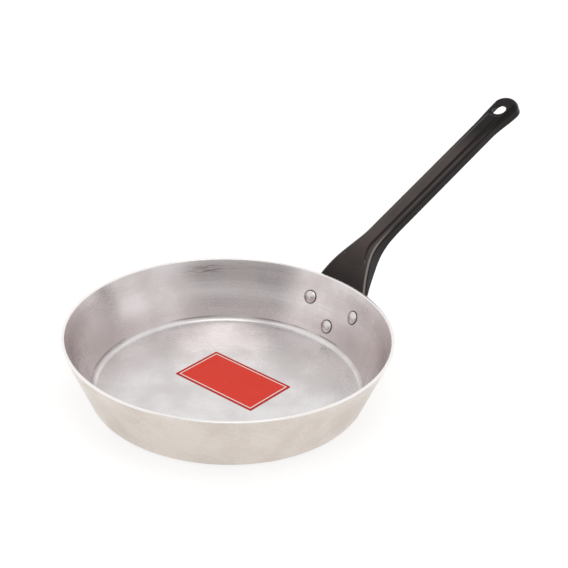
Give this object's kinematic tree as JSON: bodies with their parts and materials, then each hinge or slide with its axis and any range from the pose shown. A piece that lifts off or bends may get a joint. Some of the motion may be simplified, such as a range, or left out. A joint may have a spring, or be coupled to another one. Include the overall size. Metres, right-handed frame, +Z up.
{
  "type": "omelette pan",
  "caption": "Shallow round aluminium frying pan with leaning straight walls and a long folded steel handle riveted to its side, with a hang hole at the tip.",
  "frame": {"origin": "centre of the base's flat underside", "axes": "+Z up out of the pan's mouth, +X from the pan's centre towards the handle"},
  "size_m": [0.4747, 0.2592, 0.167],
  "materials": {
    "pan_aluminium": "spun satin",
    "handle_steel": "black semi-gloss stove enamel on steel sheet",
    "rivet_aluminium": "bright, as headed",
    "label_film": "gloss printed film"
  },
  "bodies": {
    "root": {"pan_body": "pan_aluminium", "handle": "handle_steel", "rivet_left": "rivet_aluminium", "rivet_right": "rivet_aluminium", "rivet_lower": "rivet_aluminium", "label": "label_film"}
  },
  "joints": []
}
